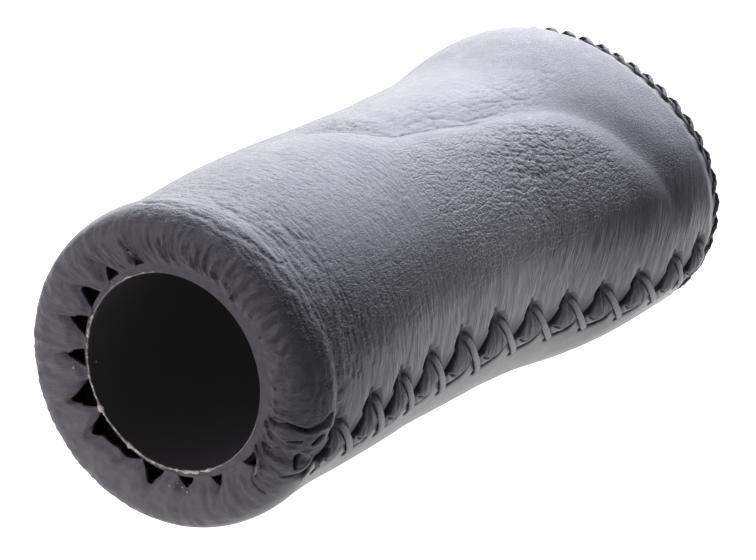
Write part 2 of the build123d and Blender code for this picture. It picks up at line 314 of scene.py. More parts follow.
def lengthways(v, t):
    """Wrinkles that run along the grip."""
    wx = v + 0.6 * noise(v / 3, t / 3, 31)
    wy = t + 0.45 * noise(v / 4, t / 2.2, 32) + 0.05 * v
    f1, f2 = cells(wx / 1.9, wy / 0.52, 33)
    g1, g2 = cells(wx / 4.6, wy / 1.25, 34)
    return 0.045 * (1 - np.exp(-4.0 * (f2 - f1)) - 0.7) + 0.075 * (1 - np.exp(-6.0 * (g2 - g1)) - 0.75)


def fine_grain(v, t):
    f1, f2 = cells(v / 0.55 + 0.3 * noise(v / 2, t / 2, 51), t / 0.50, 53)
    return 0.030 * (1 - np.exp(-4.0 * (f2 - f1)) - 0.7)


def streaks(v, t):
    """Soft hollows that run round the grip, where the leather is pulled to the seam."""
    seam_t = UP_AT(np.clip(v, 0, 90)) * RAD * 19.0 + 2 * math.pi * 19.0
    v = v + 0.55 * smooth(28, 58, v) * (t - seam_t) * (np.abs(t - seam_t) < 40)
    return 0.010 * noise(v / 0.95, t / 6.0, 61) + 0.013 * noise(v / 0.48, t / 3.6, 62) + 0.012 * noise(v / 0.25, t / 2.2, 63)


patch = wrap(lambda v, t: smooth(-0.5, 0.6, fbm(v / 9.0, t / 7.0, 71)))
peb_amp = 0.30 + 1.0 * np.exp(-(((S - 56) / 12) ** 2) - ((PDEG - 138) / 17) ** 2)
hgr = on_side * (
    wrap(pebbles) * np.clip(pebbly, 0, 1) * peb_amp
    + wrap(rings) * near_half * (0.65 + 0.5 * patch) * (1 - 0.75 * pebbly)
    + wrap(lengthways) * top_axis * (0.35 + 0.85 * smooth(-14, -1, cdist)) * (0.5 + 0.7 * patch)
    + wrap(fine_grain) * (1 - 0.8 * streaky) * (1 - pebbly) * (1 - 0.6 * below)
    + wrap(streaks) * np.clip(streaky + 0.35 * below, 0, 1)
)
hgr += on_side * wrap(lambda v, t: 0.10 * fbm(v / 13.0, t / 11.0, 81, 2) + 0.035 * fbm(v / 3.8, t / 3.2, 83, 2))

# folds that run round just inside the near end
ends = wrap(lambda v, t: fbm((v + 0.04 * t) / 0.95, t / 5.0, 91, 3))
ends2 = wrap(lambda v, t: noise(v / 0.75 + 0.4 * noise(v / 3, t / 3, 95), t / 4.2, 93))
end_zone = smooth(-1.5, 2.0, V) * (1 - smooth(7.5, 15, V)) * smooth(58, 84, PDEG) * (1 - smooth(178, 194, PDEG))
hend = end_zone * (0.55 + 0.45 * smooth(104, 132, PDEG)) * (-0.095 * np.exp(-(ends / 0.10) ** 2) - 0.055 * np.exp(-(ends2 / 0.16) ** 2) + 0.03)
for line, depth, width in (
    ([(3.3, 70), (2.6, 92), (2.4, 108), (2.8, 121), (3.2, 135), (3.0, 149), (3.3, 163), (3.9, 178)], 0.17, 0.26),
    ([(6.4, 88), (5.5, 112), (5.7, 128), (5.6, 143), (5.3, 156), (5.9, 168)], 0.15, 0.24),
    ([(8.6, 112), (8.1, 128), (8.3, 146), (7.6, 160)], 0.10, 0.22),
):
    lx, ld = np.array(line).T
    at_x = spline(ld, lx)(np.clip(PDEG, ld[0], ld[-1]))
    fade = smooth(ld[0], ld[0] + 12, PDEG) * (1 - smooth(ld[-1] - 12, ld[-1], PDEG))
    wobble = 0.35 * noise(PDEG / 5.0, 0 * S, 101) + 0.12 * noise(PDEG / 1.4, 0 * S, 102)
    where = (S > 0.4) * (F == 0)
    hend -= where * fade * depth * (0.6 + 0.5 * noise(PDEG / 7.0, 0 * S, 103)) * np.exp(-(((S - at_x + wobble) / width) ** 2))

# ---------------------------------------------------------------- the laced seam
ARC2 = spline([-0.6, -0.3, -0.1, 0.1, 0.3, 0.44, 0.54, 0.61, 0.72], [1.0, 0.99, 0.975, 0.95, 0.935, 0.895, 0.80, 0.68, 0.46])
ARC1 = spline([-0.5, -0.2, -0.03, 0.15, 0.28, 0.4, 0.52, 0.65], [0.44, 0.62, 0.715, 0.77, 0.775, 0.70, 0.50, 0.22])
SPLIT = spline([-0.3, 0.0, 0.10, 0.20, 0.33, 0.45, 0.55, 0.62, 0.69, 0.78, 0.9], [0.01, 0.0, -0.04, -0.072, -0.095, -0.14, -0.20, -0.28, -0.30, -0.23, -0.11])
WIDE = 7.6


STRAND = spline([-0.06, 0.05, 0.15, 0.25, 0.4, 0.6, 0.8, 0.95, 1.03], [-0.60, -0.42, -0.14, 0.10, 0.30, 0.40, 0.35, 0.20, 0.04])


def seam(s, q, k0=200):
    """Height of the leather round the seam, where its raw edge shows (lightened further as a painted highlight), and
    how much painted shade falls in its holes, slits, gaps and hollows.
    """
    c = np.clip(np.searchsorted(HOLES, s, side="right") - 1, 0, len(HOLES) - 2)
    span = HOLES[c + 1] - HOLES[c]
    xi = (s - HOLES[c]) / span
    left = xi < q
    xk = np.where(left, xi, xi - 1)
    owner = np.where(left, c, c + 1)
    vary = rnd(owner, owner * 0 + 3, 7) - 0.5
    vary2 = rnd(owner, owner * 0 + 5, 7) - 0.5
    qq = q + 0.03 * vary + 0.012 * noise(s / 0.8, q * 6, 15)
    a2, a1, sp = ARC2(np.clip(xk, -0.6, 0.72)), ARC1(np.clip(xk, -0.5, 0.65)) + 0.03 * vary2, SPLIT(np.clip(q, -0.3, 0.9))
    e = 0.01
    slope2 = (ARC2(np.clip(xk, -0.6, 0.70) + e) - ARC2(np.clip(xk, -0.6, 0.70) - e)) / (2 * e) * WIDE / span
    slope1 = (ARC1(np.clip(xk, -0.5, 0.63) + e) - ARC1(np.clip(xk, -0.5, 0.63) - e)) / (2 * e) * WIDE / span
    d2 = (a2 - qq) * WIDE / np.sqrt(1 + slope2**2)
    d1 = (a1 - qq) * WIDE / np.sqrt(1 + slope1**2)
    dg = (xk - sp) * span * 0.96
    petal = dg > 0
    off = (xi * span * WIDE - q * WIDE * span) / np.sqrt(span**2 + WIDE**2)  # from the strand's line, + towards the far end
    upper = 0.30 * smooth(-2.7, -0.5, q)
    inner = 0.12 + 0.42 * smooth(0.0, 1.6, d2) + 0.16 * smooth(-0.04, 0.25, d1)
    leaf = inner * smooth(0.0, 0.66, q) - 0.34 * (1 - smooth(-0.05, 0.40, q))
    dome = np.clip(1 - (dg / span - 0.26) ** 2 / 0.10, 0, 1)
    leaf = leaf + 0.12 * dome * smooth(0.1, 0.5, q) * smooth(0.0, 1.0, d2)
    # creases that fan out from the hole across the leaf
    ang = np.arctan2(xk * span, np.maximum(q * WIDE + 0.4, 0.05))
    fan = noise(ang * 11 + 3.7 * owner, q * 3.2 + 1.3 * owner, 221) + 0.6 * noise(ang * 23 + 1.9 * owner, q * 5.0, 222)
    leaf = leaf + 0.10 * fan * smooth(0.02, 0.22, q) * smooth(0.1, 0.9, d1)
    tongue = 0.34 + 0.04 * smooth(-0.3, 0.1, q) - 0.27 * smooth(0.10, 0.62, q)
    tongue = tongue + 0.055 * noise(xk * span / 0.55 + 0.25 * q * WIDE, q * 1.6, 231)
    low = 0.07 * np.exp(np.minimum(d2, 0) / 0.8) + 0.0 * q
    mid = np.where(petal, np.where(d2 > 0, leaf, low), np.where(d2 > 0, tongue, low))
    w = smooth(-0.42, 0.10, q)
    h = upper * (1 - w) + mid * w
    h = np.where(q > 1.0, low, h)
    # the slit pulled in by the strand below, a broader hollow round it, the two edges
    win_g = smooth(-0.13, 0.0, q) * (1 - smooth(0.56, 0.66, q))
    slit = win_g * np.exp(-((dg / (0.27 - 0.12 * smooth(0.1, 0.5, q))) ** 2))
    h -= 0.90 * slit + win_g * 0.30 * np.exp(-np.abs(dg) / np.where(dg > 0, 0.70, 0.25))
    win2 = smooth(-0.16, -0.02, xk) * (1 - smooth(0.60, 0.66, xk)) * (q > 0.3)
    gap2 = win2 * np.exp(-((d2 / (np.where(d2 < 0, 0.66, 0.22) + 0.05 * smooth(-0.1, 0.3, xk) * (1 - smooth(0.45, 0.6, xk)))) ** 2))
    h -= 0.55 * gap2
    win1 = smooth(-0.22, -0.08, xk) * (1 - smooth(0.44, 0.56, xk)) * (q > 0.3)
    line1 = win1 * np.exp(-((d1 / 0.14) ** 2))
    h -= 0.36 * line1
    # the holes, with the leather drawn down to a point above each upper one
    pit = np.zeros(np.shape(s))
    for d in (0, 1):
        a = (s - HOLES[c + d])
        b = q * WIDE
        rise = np.clip((b + 0.60) / 1.3, 0, 1)
        lean = a + 0.22 + 0.34 * np.maximum(b, 0)
        body = np.exp(-((lean / (0.08 + 0.54 * rise)) ** 4)) * smooth(-0.75, -0.40, b) * (1 - smooth(0.90, 2.0, b))
        pit = np.maximum(pit, body)
        h -= 0.12 * np.exp(-((a / 0.9) ** 2 + ((b + 0.3) / 1.0) ** 2))
        low_pit = np.exp(-((a / 0.40) ** 2 + ((b - 1.075 * WIDE) / 0.34) ** 2) ** 1.5)
        pit = np.maximum(pit, 0.95 * low_pit)
        h -= 0.10 * np.exp(-((a / 0.8) ** 2 + ((b - 1.03 * WIDE) / 0.7) ** 2))
        # pulled lines above each hole
        t = a / np.maximum(0.45 - b * 0.22, 0.3)
        lines = noise(t * 2.6 + 5 * (c + d), b * 0.10, 241)
        h += 0.032 * lines * np.exp(-((t / 2.6) ** 2)) * smooth(-9.5, -1.2, b) * (1 - smooth(-0.7, -0.1, b))
    h -= 1.15 * pit
    # the strand lies on the leather and presses it flat
    hs = STRAND(np.clip(q, -0.06, 1.03))
    lid = hs - 0.12 + 1.3 * np.maximum(np.abs(off) - 0.42, 0)
    h = np.where((q > -0.02) & (q < 1.03) & (c >= 2), np.minimum(h, lid), h)
    # the crescent under each petal: raw edge, lightened further as a painted highlight where it faces the light from
    # below
    raw_edge_and_highlight = np.clip(np.exp(-(((d2 - 0.42) / 0.50) ** 2)) * (d1 < 0.05) * win2 * petal, 0, 1)
    # painted shade: the petals, the tongue's lower part, the slits, the holes, the strip beside each strand and the
    # line under each petal's edge are darkened where shade falls
    shade = 0.34 * petal * smooth(-0.05, 0.10, d1) * smooth(-0.02, 0.08, q) + 0.30 * (~petal) * (d2 > 0) * smooth(0.05, 0.35, q)
    shade = np.maximum(shade, 0.95 * petal * (d1 > 0) * np.exp(-(((q - 0.06) / 0.17) ** 2)) * np.exp(-((dg / 0.95) ** 2)))
    shade = np.maximum(shade, 0.90 * win_g * petal * np.exp(-((dg / (0.62 - 0.35 * smooth(0.1, 0.55, q))) ** 2)))
    shadow_under_edge = win2 * np.exp(-(((d2 + 0.38) / 0.58) ** 4))
    strand_side_shadow = 0.65 * np.exp(-(((np.abs(off) - 0.52) / 0.22) ** 2)) * smooth(0.0, 0.12, q) * (1 - smooth(0.35, 1.0, q)) * (c >= 2)
    painted_shade = np.clip(np.maximum.reduce([np.clip(1.5 * pit, 0, 1), slit, gap2, line1, shade, strand_side_shadow, shadow_under_edge]), 0, 1)
    return h, raw_edge_and_highlight, painted_shade


hseam, raw_edge_and_highlight, painted_shade = seam(S, Q)
in_seam = smooth(-2.8, -2.5, Q) * (1 - smooth(1.44, 1.5, Q))
seam_ends = smooth(0.9, 3.6, V) * (1 - smooth(90.0, 90.6, S))
keep = in_seam * seam_ends * (F == 0)
hseam, raw_edge_and_highlight, painted_shade = hseam * keep, raw_edge_and_highlight * keep, painted_shade * keep
calm = smooth(-0.35, 0.05, Q) * (1 - smooth(1.05, 1.4, Q)) * (F == 0)

# ---------------------------------------------------------------- folds of the turned-in hem
HC = np.random.default_rng(19)
hface = np.zeros(S.shape)
on_face = np.clip(smooth(ROUND * 0.45, 0.0, S), 0, 1)
depth_in = np.where(F > 0, F * face_len, 0.0)
from_edge = np.where(F > 0, (1 - F) * face_len, face_len[0][None] + (S + ROUND * (math.pi / 2 - BETA)) * 1.0)
rr_here = np.where(F > 0, edge_r + (1 - F) * face_len, 15.0)
pleats = []
deg_now = 0.0
while deg_now < 360:
    deg_now += HC.uniform(3.2, 9.0)
    pleats.append((deg_now, HC.uniform(0.06, 0.20), HC.uniform(0.13, 0.30), HC.uniform(1.4, 4.4), HC.uniform(-0.25, 0.25)))
for at in (72, 53, 34, 17, 358.5, 337, 321, 283, 263, 243, 220):
    pleats.append((at, 0.30, 0.16, 2.9, HC.uniform(-0.12, 0.12)))
pleats += [(91.5, 0.55, 0.15, 3.6, 0.03), (111, 0.42, 0.17, 2.4, 0.0), (205, 0.30, 0.16, 3.4, 0.1), (196, 0.26, 0.18, 3.0, -0.1), (188, 0.22, 0.2, 3.6, 0.0), (300, 0.22, 0.2, 2.4, 0.0), (310, 0.2, 0.2, 2.0, 0.0)]
for at, deep, wide, reach, lean in pleats:
    d = (np.mod(DEG - at + 180, 360) - 180) * RAD * rr_here
    d = d + lean * from_edge + 0.16 * noise(from_edge / 0.8, 0 * S + at, 111)
    fade = np.clip(1 - from_edge / reach, 0, 1) ** 0.7
    hface -= deep * fade * (np.exp(-((d / wide) ** 2)) + 0.35 * np.exp(-((d / (2.6 * wide)) ** 2)))
lump = noise(DEG / 4.1, from_edge / 3.0, 121) * 0.12 + noise(DEG / 2.1, from_edge / 1.6, 122) * 0.05
right_side = smooth(86, 110, PDEG) * (1 - smooth(205, 222, PDEG))
lump += right_side * (0.13 * np.sin(DEG * RAD * 62 + 2.0 * noise(DEG / 9.0, from_edge / 2.2, 123)) + 0.05 * noise(DEG / 1.5, from_edge / 0.8, 124))
hface += lump * smooth(6.5, 2.0, from_edge) * (from_edge >= 0)
hface += 0.120 * noise(DEG / 1.6, from_edge / 3.2, 129) + 0.065 * noise(DEG / 3.3, from_edge / 0.8, 130) + 0.030 * noise(DEG / 1.0, from_edge / 1.2, 125) + 0.022 * noise(DEG / 0.55, from_edge / 0.4, 126)
hface *= on_face * (S < ROUND)
hface += 0.14 * np.sin(np.clip(F, 0, 1) * math.pi) * (F > 0)
hface -= 0.20 * smooth(1.5, 0.1, from_edge) * (F > 0)
hface += (F > 0) * (0.055 * noise(DEG / 1.25, from_edge / 1.7, 127) + 0.040 * noise(DEG / 0.62, from_edge / 1.1, 128)) * smooth(4.5, 2.0, from_edge)
ring_line = -0.55 * np.cos(PHI) + 0.32 * np.sin(PHI) + 11.95
over_ring = smooth(0.10, -0.05, edge_r - ring_line) * smooth(1.15, 0.12, from_edge) * (F > 0)
hface = hface * (1 - over_ring) - 0.235 * over_ring
# the join at the near end: leather drawn together, with a lip above it
join = np.abs(np.mod(DEG - 203 + 180, 360) - 180)
near_join = np.exp(-((join / 9.0) ** 2)) * smooth(-5.5, -2.0, V) * (1 - smooth(1.5, 4.5, S))
hjoin = -0.42 * near_join * np.exp(-((join / 2.4) ** 2))
hjoin += 0.09 * near_join * noise(DEG / 1.6, V / 1.8, 131)
lip_win = smooth(150, 178, PDEG) * (1 - smooth(190.5, 193.0, PDEG))
hjoin += lip_win * (0.36 * np.exp(-(((S - 3.7) / 0.85) ** 2)) * (F == 0) - 0.26 * np.exp(-(((S - 5.15 - 0.35 * noise(PDEG / 4.0, 0 * S, 133)) / 0.55) ** 2)))
# painted shade: each slit of the join is cut in and also darkened in colour where shade falls in it
join_painted_shade = np.zeros(S.shape)
jr, jc = slice(0, ROW_BODY + 70), np.where((PDEG[0] > 176) & (PDEG[0] < 228))[0]
jc = slice(int(jc.min()), N)
for line, wide, deep, slit_shade in (
    (((-3.2, 191.6), (-2.4, 190.0), (-1.2, 188.9), (0.2, 189.8), (1.3, 190.9)), 0.24, 0.80, 1.0),
    (((1.2, 190.9), (2.0, 190.6), (2.9, 189.4), (3.6, 186.3)), 0.34, 0.40, 0.35),
    (((-3.6, 205.6), (-2.1, 201.2), (-1.2, 199.2)), 0.17, 0.50, 0.85),
    (((1.1, 200.8), (1.3, 206.4)), 0.26, 0.80, 1.0),
    (((3.2, 205.2), (4.8, 202.0)), 0.30, 0.75, 1.0),
    (((2.2, 196.6), (3.0, 193.6)), 0.20, 0.45, 0.8),
    (((-0.6, 195.6), (0.9, 195.0)), 0.15, 0.35, 0.6),
    (((0.2, 211.0), (2.6, 209.5)), 0.18, 0.25, 0.3),
):
    lx, ld = np.array(line).T
    d, u = to_curve(V[jr, jc], PDEG[jr, jc], lx, ld)
    taper = np.exp(-((d / (wide * (0.55 + 0.45 * np.sin(np.clip(u, 0.04, 0.96) * math.pi)))) ** 2))
    ends_off = 1.0
    hjoin[jr, jc] -= deep * taper * ends_off
    join_painted_shade[jr, jc] = np.maximum(join_painted_shade[jr, jc], slit_shade * taper**2)

H = hpad + hgr * (1 - 0.85 * calm) + hend + hseam + hface + hjoin
# the rim is drawn in a little at each stitch
STITCHES = 44
rim_pull = smooth(87.2, 90.4, S)
H -= rim_pull * (0.42 + 0.09 * np.cos((DEG - 90) * RAD * STITCHES)) + 0.20 * smooth(89.9, 90.57, S)
H += 0.05 * np.exp(-(((S - 87.6) / 1.2) ** 2)) * smooth(85, 87, S)
skin = base + NRM * H[..., None]

# rows that turn the cut edge in at the mouth and at the rim, then run back inside
rows = []
e_dir = np.stack([np.zeros(N), np.cos(PHI[0]), np.sin(PHI[0])], -1)
first = skin[0]
for x, out in ((0.30, 0.06), (0.06, 0.0), (-0.10, 0.0)):
    p = e_dir * (edge_r[0] + out)[:, None]
    ring_r = -0.55 * np.cos(PHI[0]) + 0.32 * np.sin(PHI[0]) + 11.95
    on_ring = smooth(0.10, -0.05, edge_r[0] - ring_r)
    p[:, 0] = x * (1 - on_ring) + (0.004 - 0.016 * len(rows)) * on_ring
    rows.append(p)
shift = np.linspace(1, 0, 3)[:, None, None]
skin[0] = first + np.array([0.10, 0, 0]) * (1 - on_ring[:, None]) + np.array([0.018, 0, 0]) * on_ring[:, None]
skin[1] = skin[1] + np.array([0.02, 0, 0]) * (1 - on_ring[:, None])
front = np.concatenate([np.stack(rows), skin], 0)
band = np.concatenate([np.zeros(N_REST), smooth(-0.9, -0.5, q_band) * (1 - smooth(1.3, 1.5, q_band))])
back = []
edge_end = base[-1] - NRM[-1] * 0.55
edge_end[:, 0] = END_S
back.append(edge_end)
edge_end = base[-1] - NRM[-1] * 1.15
edge_end[:, 0] = END_S
back.append(edge_end)
picks = [M - 5] + [ROW_BODY + int(k) for k in np.linspace(len(s_body) - 20, 0, 14)]
picks += [N_FACE + int(k) for k in np.linspace(34, 0, 7)] + [int(k) for k in np.linspace(N_FACE - 5, 6, 3)]
for r in picks:
    thick = 1.2 + 0.95 * band * smooth(2, 8, s_all[r]) * (1 - smooth(86, 89.5, s_all[r]))
    if beta_all[r] > 0:
        thick = 0.62 + 0.58 * np.cos(beta_all[r]) + 0 * thick
    back.append(base[r] - NRM[r] * thick[:, None])
shell = np.concatenate([front, np.stack(back)], 0)


def attribute(mesh, name, values):
    a = mesh.attributes.new(name, "FLOAT", "POINT")
    a.data.foreach_set("value", np.ascontiguousarray(values, dtype=np.float32).ravel())


def make_mesh(name, verts, faces, smooth_shade=True, collection=None):
    mesh = bpy.data.meshes.new(name)
    verts = np.asarray(verts, float) * MM
    if isinstance(faces, np.ndarray):
        n = len(faces)
        mesh.vertices.add(len(verts))
        mesh.vertices.foreach_set("co", verts.astype(np.float32).ravel())
        mesh.loops.add(n * 4)
        mesh.loops.foreach_set("vertex_index", faces.astype(np.int32).ravel())
        mesh.polygons.add(n)
        mesh.polygons.foreach_set("loop_start", np.arange(0, n * 4, 4, dtype=np.int32))
        mesh.update(calc_edges=True)
        mesh.validate()
    else:
        mesh.from_pydata([tuple(v) for v in verts], [], faces)
        mesh.update()
    mesh.polygons.foreach_set("use_smooth", np.full(len(mesh.polygons), smooth_shade))
    obj = bpy.data.objects.new(name, mesh)
    bpy.context.scene.collection.objects.link(obj)
    return obj


def torus_faces(m, n, flip=False):
    i, j = np.meshgrid(np.arange(m), np.arange(n), indexing="ij")
    i2, j2 = (i + 1) % m, (j + 1) % n
    f = np.stack([i * n + j, i * n + j2, i2 * n + j2, i2 * n + j], -1).reshape(-1, 4)
    return f[:, ::-1] if flip else f


def volume(verts, quads):
    a, b, c, d = (verts[quads[:, k]] for k in range(4))
    return (np.einsum("ij,ij->i", a, np.cross(b, c)).sum() + np.einsum("ij,ij->i", a, np.cross(c, d)).sum()) / 6


rows_total = len(shell)
flat = shell.reshape(-1, 3)
quads = torus_faces(rows_total, N)
if volume(flat, quads) < 0:
    quads = quads[:, ::-1]
cover = make_mesh("leather_cover_skin", flat, quads)


def padded_rows(a, fill=0.0):
    top = np.full((len(rows), N), fill)
    bottom = np.full((len(back), N), fill)
    return np.concatenate([top, a, bottom], 0)


raw = np.zeros((rows_total, N))
raw[: len(rows)] = 1.0
raw[len(rows) + M :] = 1.0
attribute(cover.data, "raw_edge_and_highlight", np.maximum(padded_rows(raw_edge_and_highlight), raw))
attribute(cover.data, "painted_shade", padded_rows(np.maximum(painted_shade, join_painted_shade)))
hair_t = T + 0 * V
seam_line = UP_AT(np.clip(V, 0, 90)) * RAD * 19.0 + 2 * math.pi * 19.0
hair_v = np.where(S < 2.4, DEG * 0.34, V + 0.55 * smooth(28, 58, V) * (T - seam_line) * (np.abs(T - seam_line) < 40))
attribute(cover.data, "hair_v", padded_rows(hair_v))
attribute(cover.data, "hair_t", padded_rows(np.where(S < 2.4, from_edge * 1.3, hair_t)))
open_join = smooth(1.5, 1.25, Q) * np.concatenate([smooth(0.0, 0.03, w_rest), np.ones(N_BAND)])[None]
face_hair = np.clip(on_face, 0, 1) * (S < 1.8) * open_join
attribute(cover.data, "hair", padded_rows(np.clip(np.clip(streaky, 0, 1) * (1 - 0.6 * painted_shade) + 0.8 * face_hair, 0, 1)))
behind = np.clip(1 - smooth(24, 62, PDEG) + smooth(256, 285, PDEG), 0, 1) * on_side
attribute(cover.data, "pebbly", padded_rows(np.clip(pebbly + behind, 0, 1)))
attribute(cover.data, "stretched", padded_rows(np.clip(streaky + 0.6 * below * (1 - behind), 0, 1)))
attribute(cover.data, "face", padded_rows(np.clip(on_face, 0, 1)))


# ---------------------------------------------------------------- seam thread
def surface_at(s, q, grid=None):
    """Base point, normal and height of the leather at station s and place q across the seam."""
    r = np.interp(s, s_all[N_FACE:], np.arange(M - N_FACE) + N_FACE)
    c = N_REST + (q - q_band[0]) / (q_band[1] - q_band[0])
    r0, c0 = np.floor(r).astype(int), np.floor(c).astype(int)
    r0, c0 = np.clip(r0, 0, M - 2), np.clip(c0, N_REST, N - 2)
    u, v = np.clip(r - r0, 0, 1)[..., None], np.clip(c - c0, 0, 1)[..., None]

    def mix(g):
        return (g[r0, c0] * (1 - u) + g[r0 + 1, c0] * u) * (1 - v) + (g[r0, c0 + 1] * (1 - u) + g[r0 + 1, c0 + 1] * u) * v

    return mix(base), mix(NRM), mix((H if grid is None else grid)[..., None])[..., 0]


def tube(points, normal, half_w, half_t, around=20, power=2.6, twist=0.0, lobes=0.0, closed=False, phase=0.0):
    """A closed skin round a line. The section is a flattened round, wide across normal."""
    n = len(points)
    if closed:
        tan = np.roll(points, -1, 0) - np.roll(points, 1, 0)
    else:
        tan = np.gradient(points, axis=0)
    tan /= np.linalg.norm(tan, axis=1, keepdims=True)
    side = np.cross(tan, normal)
    side /= np.linalg.norm(side, axis=1, keepdims=True)
    out = np.cross(side, tan)
    th = np.linspace(0, 2 * math.pi, around, endpoint=False)
    c, s_ = np.cos(th), np.sin(th)
    cx_ = np.sign(c) * np.abs(c) ** (2 / power)
    sx_ = np.sign(s_) * np.abs(s_) ** (2 / power)
    seg = np.linalg.norm(np.diff(points, axis=0, append=points[:1]), axis=1)
    run = np.concatenate([[0], np.cumsum(seg)[:-1]])
    if closed and twist:
        total = seg.sum()
        turns = max(1, round(total / twist))
        spin = 2 * math.pi * run / total * turns
    else:
        spin = 2 * math.pi * run / twist + phase if twist else 0 * run
    ply = 1 + lobes * np.cos(2 * (th[None] - spin[:, None]))
    half_w = np.broadcast_to(np.asarray(half_w, float), (n,))
    half_t = np.broadcast_to(np.asarray(half_t, float), (n,))
    ring = points[:, None] + side[:, None] * (cx_[None] * ply * half_w[:, None])[..., None] + out[:, None] * (sx_[None] * ply * half_t[:, None])[..., None]
    return ring, run


def add_tube(store, ring, closed=False):
    n, a, _ = ring.shape
    start_at = store["n"]
    store["v"].append(ring.reshape(-1, 3))
    faces = []
    last = n if closed else n - 1
    for i in range(last):
        i2 = (i + 1) % n
        for j in range(a):
            j2 = (j + 1) % a
            faces.append((start_at + i * a + j, start_at + i * a + j2, start_at + i2 * a + j2, start_at + i2 * a + j))
    store["n"] += n * a
    if not closed:
        for k, order in ((0, 1), (n - 1, -1)):
            mid = ring[k].mean(0)
            store["v"].append(mid[None])
            at = store["n"]
            store["n"] += 1
            for j in range(a):
                j2 = (j + 1) % a
                tri = (start_at + k * a + j, at, start_at + k * a + j2)
                faces.append(tri if order == 1 else tri[::-1])
    store["f"] += faces


def finish_store(name, store):
    obj = make_mesh(name, np.concatenate(store["v"]), store["f"])
    import bmesh

    bm = bmesh.new()
    bm.from_mesh(obj.data)
    bmesh.ops.recalc_face_normals(bm, faces=bm.faces)
    bm.to_mesh(obj.data)
    bm.free()
    obj.data.polygons.foreach_set("use_smooth", np.full(len(obj.data.polygons), True))
    return obj


lace = {"v": [], "f": [], "n": 0}
lace_painted_shade = []
for c in range(2, len(HOLES) - 2):
    u = np.linspace(0, 1, 64)
    first_q = 0.085
    qs = first_q + u * (1.06 - first_q)
    xs = HOLES[c] + 0.22 * (1 - smooth(0.1, 0.6, qs)) + (HOLES[c + 1] - HOLES[c]) * np.clip(qs, -0.02, 1.04) + 0.10 * np.sin(u * math.pi) * (rnd(np.array(c), np.array(1), 5) - 0.5)
    xs = np.clip(xs, 0.15, 90.5)
    p, nn, h0 = surface_at(xs, qs)
    rest = surface_at(xs, qs, H - hseam)[2]
    kern = np.hanning(13)
    kern /= kern.sum()
    h = np.convolve(np.pad(rest, 6, mode="edge"), kern, "valid") + STRAND(np.clip(qs, -0.06, 1.03)) + 0.04
    dive = np.exp(-(((qs - first_q) / 0.07) ** 2))
    h = h * (1 - dive) - 0.75 * dive
    dive = np.exp(-(((qs - 1.06) / 0.035) ** 2))
    h = h * (1 - dive) - 0.75 * dive
    pts = p + nn * h[:, None]
    wv = 0.42 * (0.90 + 0.10 * smooth(0.05, 0.5, qs)) * (1 + 0.05 * noise(u * 9, 0 * u + c, 301))
    wv *= 1 - 0.30 * smooth(0.93, 1.05, qs)
    # painted shade: the upper part of each strand, sunk between the leather edges, is darkened in colour
    lace_painted_shade.append(np.concatenate([np.repeat(1 - smooth(0.16, 0.70, qs), 24), [1.0, 0.2]]))
    ring, run = tube(pts, nn, wv, 0.20 * (1 + 0.08 * noise(u * 7, 0 * u + c, 302)), around=24, power=2.7, twist=1.5, lobes=0.05, phase=c * 1.7)
    wiggle = noise(run[:, None] / 0.28 + 0 * ring[..., 0], np.arange(24)[None] / 1.7 + c * 13, 303)
    out = ring - pts[:, None]
    ring = ring + out * 0.05 * wiggle[..., None]
    add_tube(lace, ring)
thread = finish_store("seam_lacing", lace)
attribute(thread.data, "painted_shade", np.concatenate(lace_painted_shade))

# ---------------------------------------------------------------- whip stitching round the rim
loops = {"v": [], "f": [], "n": 0}
per = 30
n_pts = STITCHES * per
k = np.arange(n_pts)
tau = (k % per) / per
which = k // per
over = np.clip(tau / 0.72, 0, 1)
under = np.clip((tau - 0.72) / 0.28, 0, 1)
psi = np.where(tau < 0.72, -110 + 235 * over, 125 + 125 * under) * RAD
travel = np.where(tau < 0.72, 1.55 * over, 1.55 - 0.55 * under)
jit = rnd(which, which * 0, 9) - 0.5
jit2 = rnd((which + 1) % STITCHES, which * 0, 9) - 0.5
phi_r = (which + travel + 0.16 * (jit * (1 - travel) + jit2 * travel)) / STITCHES * 2 * math.pi
sy, sz = section(np.full(n_pts, 91.0), phi_r)
rad = np.sqrt(sy**2 + sz**2)
cen = rad - 0.98 + 0.30 * np.exp(-(((np.mod(phi_r / RAD, 360.0) - 75) / 28) ** 2))
minor_r = 0.76 + 0.07 * (jit * (1 - tau) + jit2 * tau)
minor_x = 0.98 + 0.08 * (jit2 * (1 - tau) + jit * tau)
cosp = np.sign(np.cos(psi)) * np.abs(np.cos(psi)) ** 0.75
sinp = np.sign(np.sin(psi)) * np.abs(np.sin(psi)) ** 0.75
# psi 0 points outwards, +90 towards the near end along the side, -90 over the cap
rad_p = cen + minor_r * cosp
x_p = 91.22 - minor_x * sinp
fac = rad_p / rad
pts = np.stack([x_p, sy * fac, sz * fac], -1)
outward = np.stack([-np.sin(psi), np.cos(psi) * sy / rad, np.cos(psi) * sz / rad], -1)
ring, run = tube(pts, outward, 0.40, 0.26, around=16, power=2.0, twist=1.5, lobes=0.17, closed=True)
wiggle = noise(run[:, None] / 0.22 + 0 * ring[..., 0], np.arange(16)[None] / 1.5, 313)
ring = ring + (ring - pts[:, None]) * 0.07 * wiggle[..., None]
add_tube(loops, ring, closed=True)
whip = finish_store("rim_whipping", loops)

# ---------------------------------------------------------------- the leather disc over the far end
n_c = 352
phi_c = np.linspace(0, 2 * math.pi, n_c, endpoint=False)
ey, ez = section(np.full(n_c, 91.0), phi_c)
er = np.sqrt(ey**2 + ez**2)
wave = np.cos((phi_c - math.pi / 2) * STITCHES)
rings_c = []
